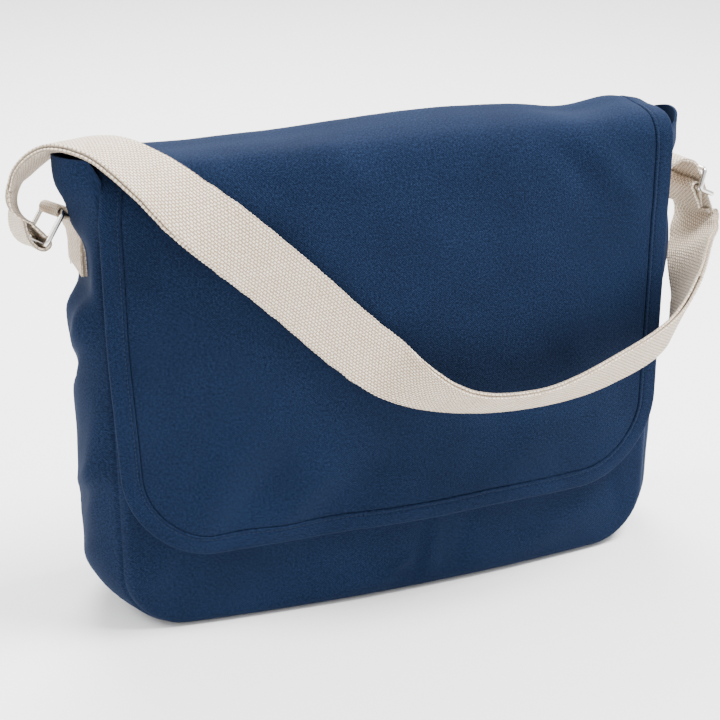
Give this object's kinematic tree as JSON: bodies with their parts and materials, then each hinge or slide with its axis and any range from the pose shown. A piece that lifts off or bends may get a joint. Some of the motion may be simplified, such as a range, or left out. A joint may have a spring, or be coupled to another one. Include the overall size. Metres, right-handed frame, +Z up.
{
  "type": "messenger bag",
  "caption": "Canvas messenger bag with a wide hemmed flap, gusseted sides and a doubled webbing shoulder strap on a wire ring and slider.",
  "frame": {"origin": "middle of the base, on the surface the bag stands on", "axes": "+X to the right along the mouth, -Y to the front where the flap hangs, +Z up"},
  "size_m": [0.4865, 0.1583, 0.3339],
  "materials": {
    "canvas": "matte navy cotton canvas",
    "webbing": "natural cotton webbing",
    "nickel": "bright nickel plate",
    "thread": "navy thread",
    "cream_thread": "natural thread"
  },
  "bodies": {
    "root": {"front_panel": "canvas", "back_panel": "canvas", "gusset": "canvas", "front_top_hem": "canvas", "gusset_hem_left": "canvas", "gusset_hem_right": "canvas", "front_seam_binding": "canvas", "back_seam_binding": "canvas", "tab_left": "webbing", "tab_stitching": "cream_thread", "strap_neck_outer": "webbing", "strap_neck_inner": "webbing", "strap_fixed_end": "webbing", "strap_slider_run": "webbing", "fixed_end_stitching": "cream_thread"},
    "flap_top": {"flap_top_panel": "canvas", "flap_top_hem_left": "canvas", "flap_top_hem_right": "canvas"},
    "flap_front": {"flap_front_panel": "canvas", "flap_edge_hem": "canvas", "flap_topstitching": "thread"},
    "strap": {"strap_outer_layer": "webbing", "strap_inner_layer": "webbing"},
    "ring": {"ring_left": "nickel", "strap_ring_loop": "webbing"},
    "slider": {"slider_frame": "nickel", "slider_center_bar": "nickel", "strap_end_loop": "webbing"}
  },
  "joints": [
    {"name": "strap_swing", "type": "hinge", "parent": "root", "child": "strap", "pos_m": [0, 0.02, 0.285], "axis": [-1, 0, 0], "range_deg": [0, 155]},
    {"name": "flap_lift", "type": "hinge", "parent": "root", "child": "flap_top", "pos_m": [0, 0.008, 0.318], "axis": [-1, 0, 0], "range_deg": [0, 35]},
    {"name": "flap_fold", "type": "hinge", "parent": "flap_top", "child": "flap_front", "pos_m": [0, -0.031, 0.298], "axis": [-1, 0, 0], "range_deg": [0, 60]},
    {"name": "ring_pivot", "type": "hinge", "parent": "root", "child": "ring", "pos_m": [-0.2115, 0, 0.2835], "axis": [-0.1095, 0.9733, -0.202], "range_deg": [-8, 14]},
    {"name": "slider_slide", "type": "slide", "parent": "root", "child": "slider", "axis": [0.3987, 0, -0.9171], "range_m": [0, 0.01]}
  ],
  "couplings": [
    {"joint": "flap_lift", "follows": "strap_swing", "ratio": 0.2},
    {"joint": "flap_fold", "follows": "strap_swing", "ratio": 0.35}
  ]
}
